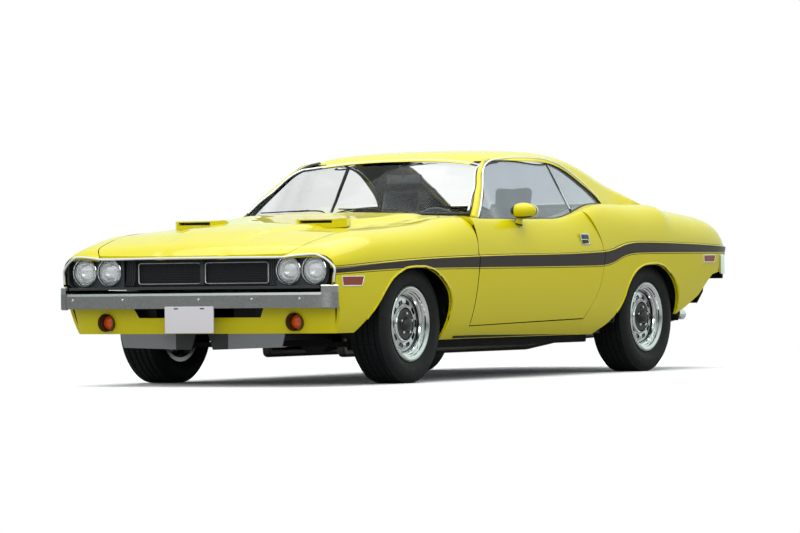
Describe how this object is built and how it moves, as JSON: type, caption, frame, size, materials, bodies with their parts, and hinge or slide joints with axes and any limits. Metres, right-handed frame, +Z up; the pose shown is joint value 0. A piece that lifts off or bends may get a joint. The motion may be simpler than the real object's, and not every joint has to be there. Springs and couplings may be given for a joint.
{
  "type": "muscle car",
  "caption": "Two-door hardtop coupe with long bonnet, quad round headlamps, hinged doors, bonnet and boot lid, steered front wheels and a hollow cabin.",
  "frame": {"origin": "on the ground under the middle of the car", "axes": "+X to the car's left, -Y to its front, +Z up"},
  "size_m": [1.983, 4.882, 1.3314],
  "materials": {
    "body_paint": "glossy yellow-green paint",
    "black_paint": "satin black",
    "chrome": "bright plated",
    "glass": "clear, slightly green",
    "lamp_glass": "clear ribbed",
    "red_lens": "red lens",
    "amber_lens": "amber lens",
    "tyre": "matt black",
    "wheel_steel": "silver paint and bright ring",
    "chassis_black": "chassis black",
    "iron": "bare casting",
    "pipe": "aluminised pipe",
    "trim": "dark grained trim",
    "seat_vinyl": "black grained vinyl",
    "spoiler_grey": "grey",
    "plate": "blank plate"
  },
  "bodies": {
    "shell": {"front_bumper": "chrome", "rear_bumper": "chrome", "fender_left": "body_paint", "fender_right": "body_paint", "quarter_left": "body_paint", "quarter_right": "body_paint", "sills": "body_paint", "side_markers": "red_lens", "cowl": "body_paint", "roof": "body_paint", "floor_pan": "chassis_black", "rear_structure": "body_paint", "front_structure": "chassis_black", "front_valance": "body_paint", "grille_panel": "black_paint", "grille": "chrome", "headlamps": "lamp_glass", "parking_lamps": "amber_lens", "chin_spoiler": "spoiler_grey", "tail_panel": "body_paint", "tail_lamps": "red_lens", "plates": "plate", "windscreen": "glass", "rear_window": "glass", "quarter_windows": "glass", "front_seats": "seat_vinyl", "rear_seat": "seat_vinyl", "steering_wheel": "trim", "dashboard": "trim", "interior_mirror": "trim", "engine": "iron", "drivetrain": "iron", "rear_axle": "chassis_black", "exhaust": "pipe", "fuel_tank": "pipe", "front_suspension": "chassis_black"},
    "door_left": {"door_left": "body_paint", "door_glass_left": "glass", "door_handle_left": "chrome", "door_mirror": "body_paint"},
    "door_right": {"door_right": "body_paint", "door_glass_right": "glass", "door_handle_right": "chrome"},
    "bonnet": {"bonnet": "body_paint"},
    "boot_lid": {"boot_lid": "body_paint"},
    "knuckle_left": {"knuckle_left": "iron"},
    "knuckle_right": {"knuckle_right": "iron"},
    "wheel_front_left": {"rim_front_left": "wheel_steel", "tyre_front_left": "tyre"},
    "wheel_front_right": {"rim_front_right": "wheel_steel", "tyre_front_right": "tyre"},
    "wheel_rear_left": {"rim_rear_left": "wheel_steel", "tyre_rear_left": "tyre"},
    "wheel_rear_right": {"rim_rear_right": "wheel_steel", "tyre_rear_right": "tyre"}
  },
  "joints": [
    {"name": "door_left_hinge", "type": "hinge", "parent": "shell", "child": "door_left", "pos_m": [0.87, -0.95193, 0.595], "axis": [0, -0.0654, -0.9979], "range_deg": [0, 65]},
    {"name": "door_right_hinge", "type": "hinge", "parent": "shell", "child": "door_right", "pos_m": [-0.87, -0.95193, 0.595], "axis": [0, 0.0654, 0.9979], "range_deg": [0, 65]},
    {"name": "bonnet_hinge", "type": "hinge", "parent": "shell", "child": "bonnet", "pos_m": [0, -0.812, 0.893], "axis": [-1, 0, 0], "range_deg": [0, 48]},
    {"name": "boot_hinge", "type": "hinge", "parent": "shell", "child": "boot_lid", "pos_m": [0, 1.53, 0.966], "axis": [1, 0, 0], "range_deg": [0, 60]},
    {"name": "steer_left", "type": "hinge", "parent": "shell", "child": "knuckle_left", "pos_m": [0.69, -1.51, 0.329], "axis": [0, 0, 1], "range_deg": [-30, 30]},
    {"name": "steer_right", "type": "hinge", "parent": "shell", "child": "knuckle_right", "pos_m": [-0.69, -1.51, 0.329], "axis": [0, 0, 1], "range_deg": [-30, 30]},
    {"name": "spin_front_left", "type": "hinge", "parent": "knuckle_left", "child": "wheel_front_left", "pos_m": [0.758, -1.51, 0.329], "axis": [1, 0, 0], "continuous": true},
    {"name": "spin_front_right", "type": "hinge", "parent": "knuckle_right", "child": "wheel_front_right", "pos_m": [-0.758, -1.51, 0.329], "axis": [1, 0, 0], "continuous": true},
    {"name": "spin_rear_left", "type": "hinge", "parent": "shell", "child": "wheel_rear_left", "pos_m": [0.77, 1.284, 0.329], "axis": [1, 0, 0], "continuous": true},
    {"name": "spin_rear_right", "type": "hinge", "parent": "shell", "child": "wheel_rear_right", "pos_m": [-0.77, 1.284, 0.329], "axis": [1, 0, 0], "continuous": true}
  ],
  "couplings": [
    {"joint": "steer_right", "follows": "steer_left", "ratio": 1}
  ]
}
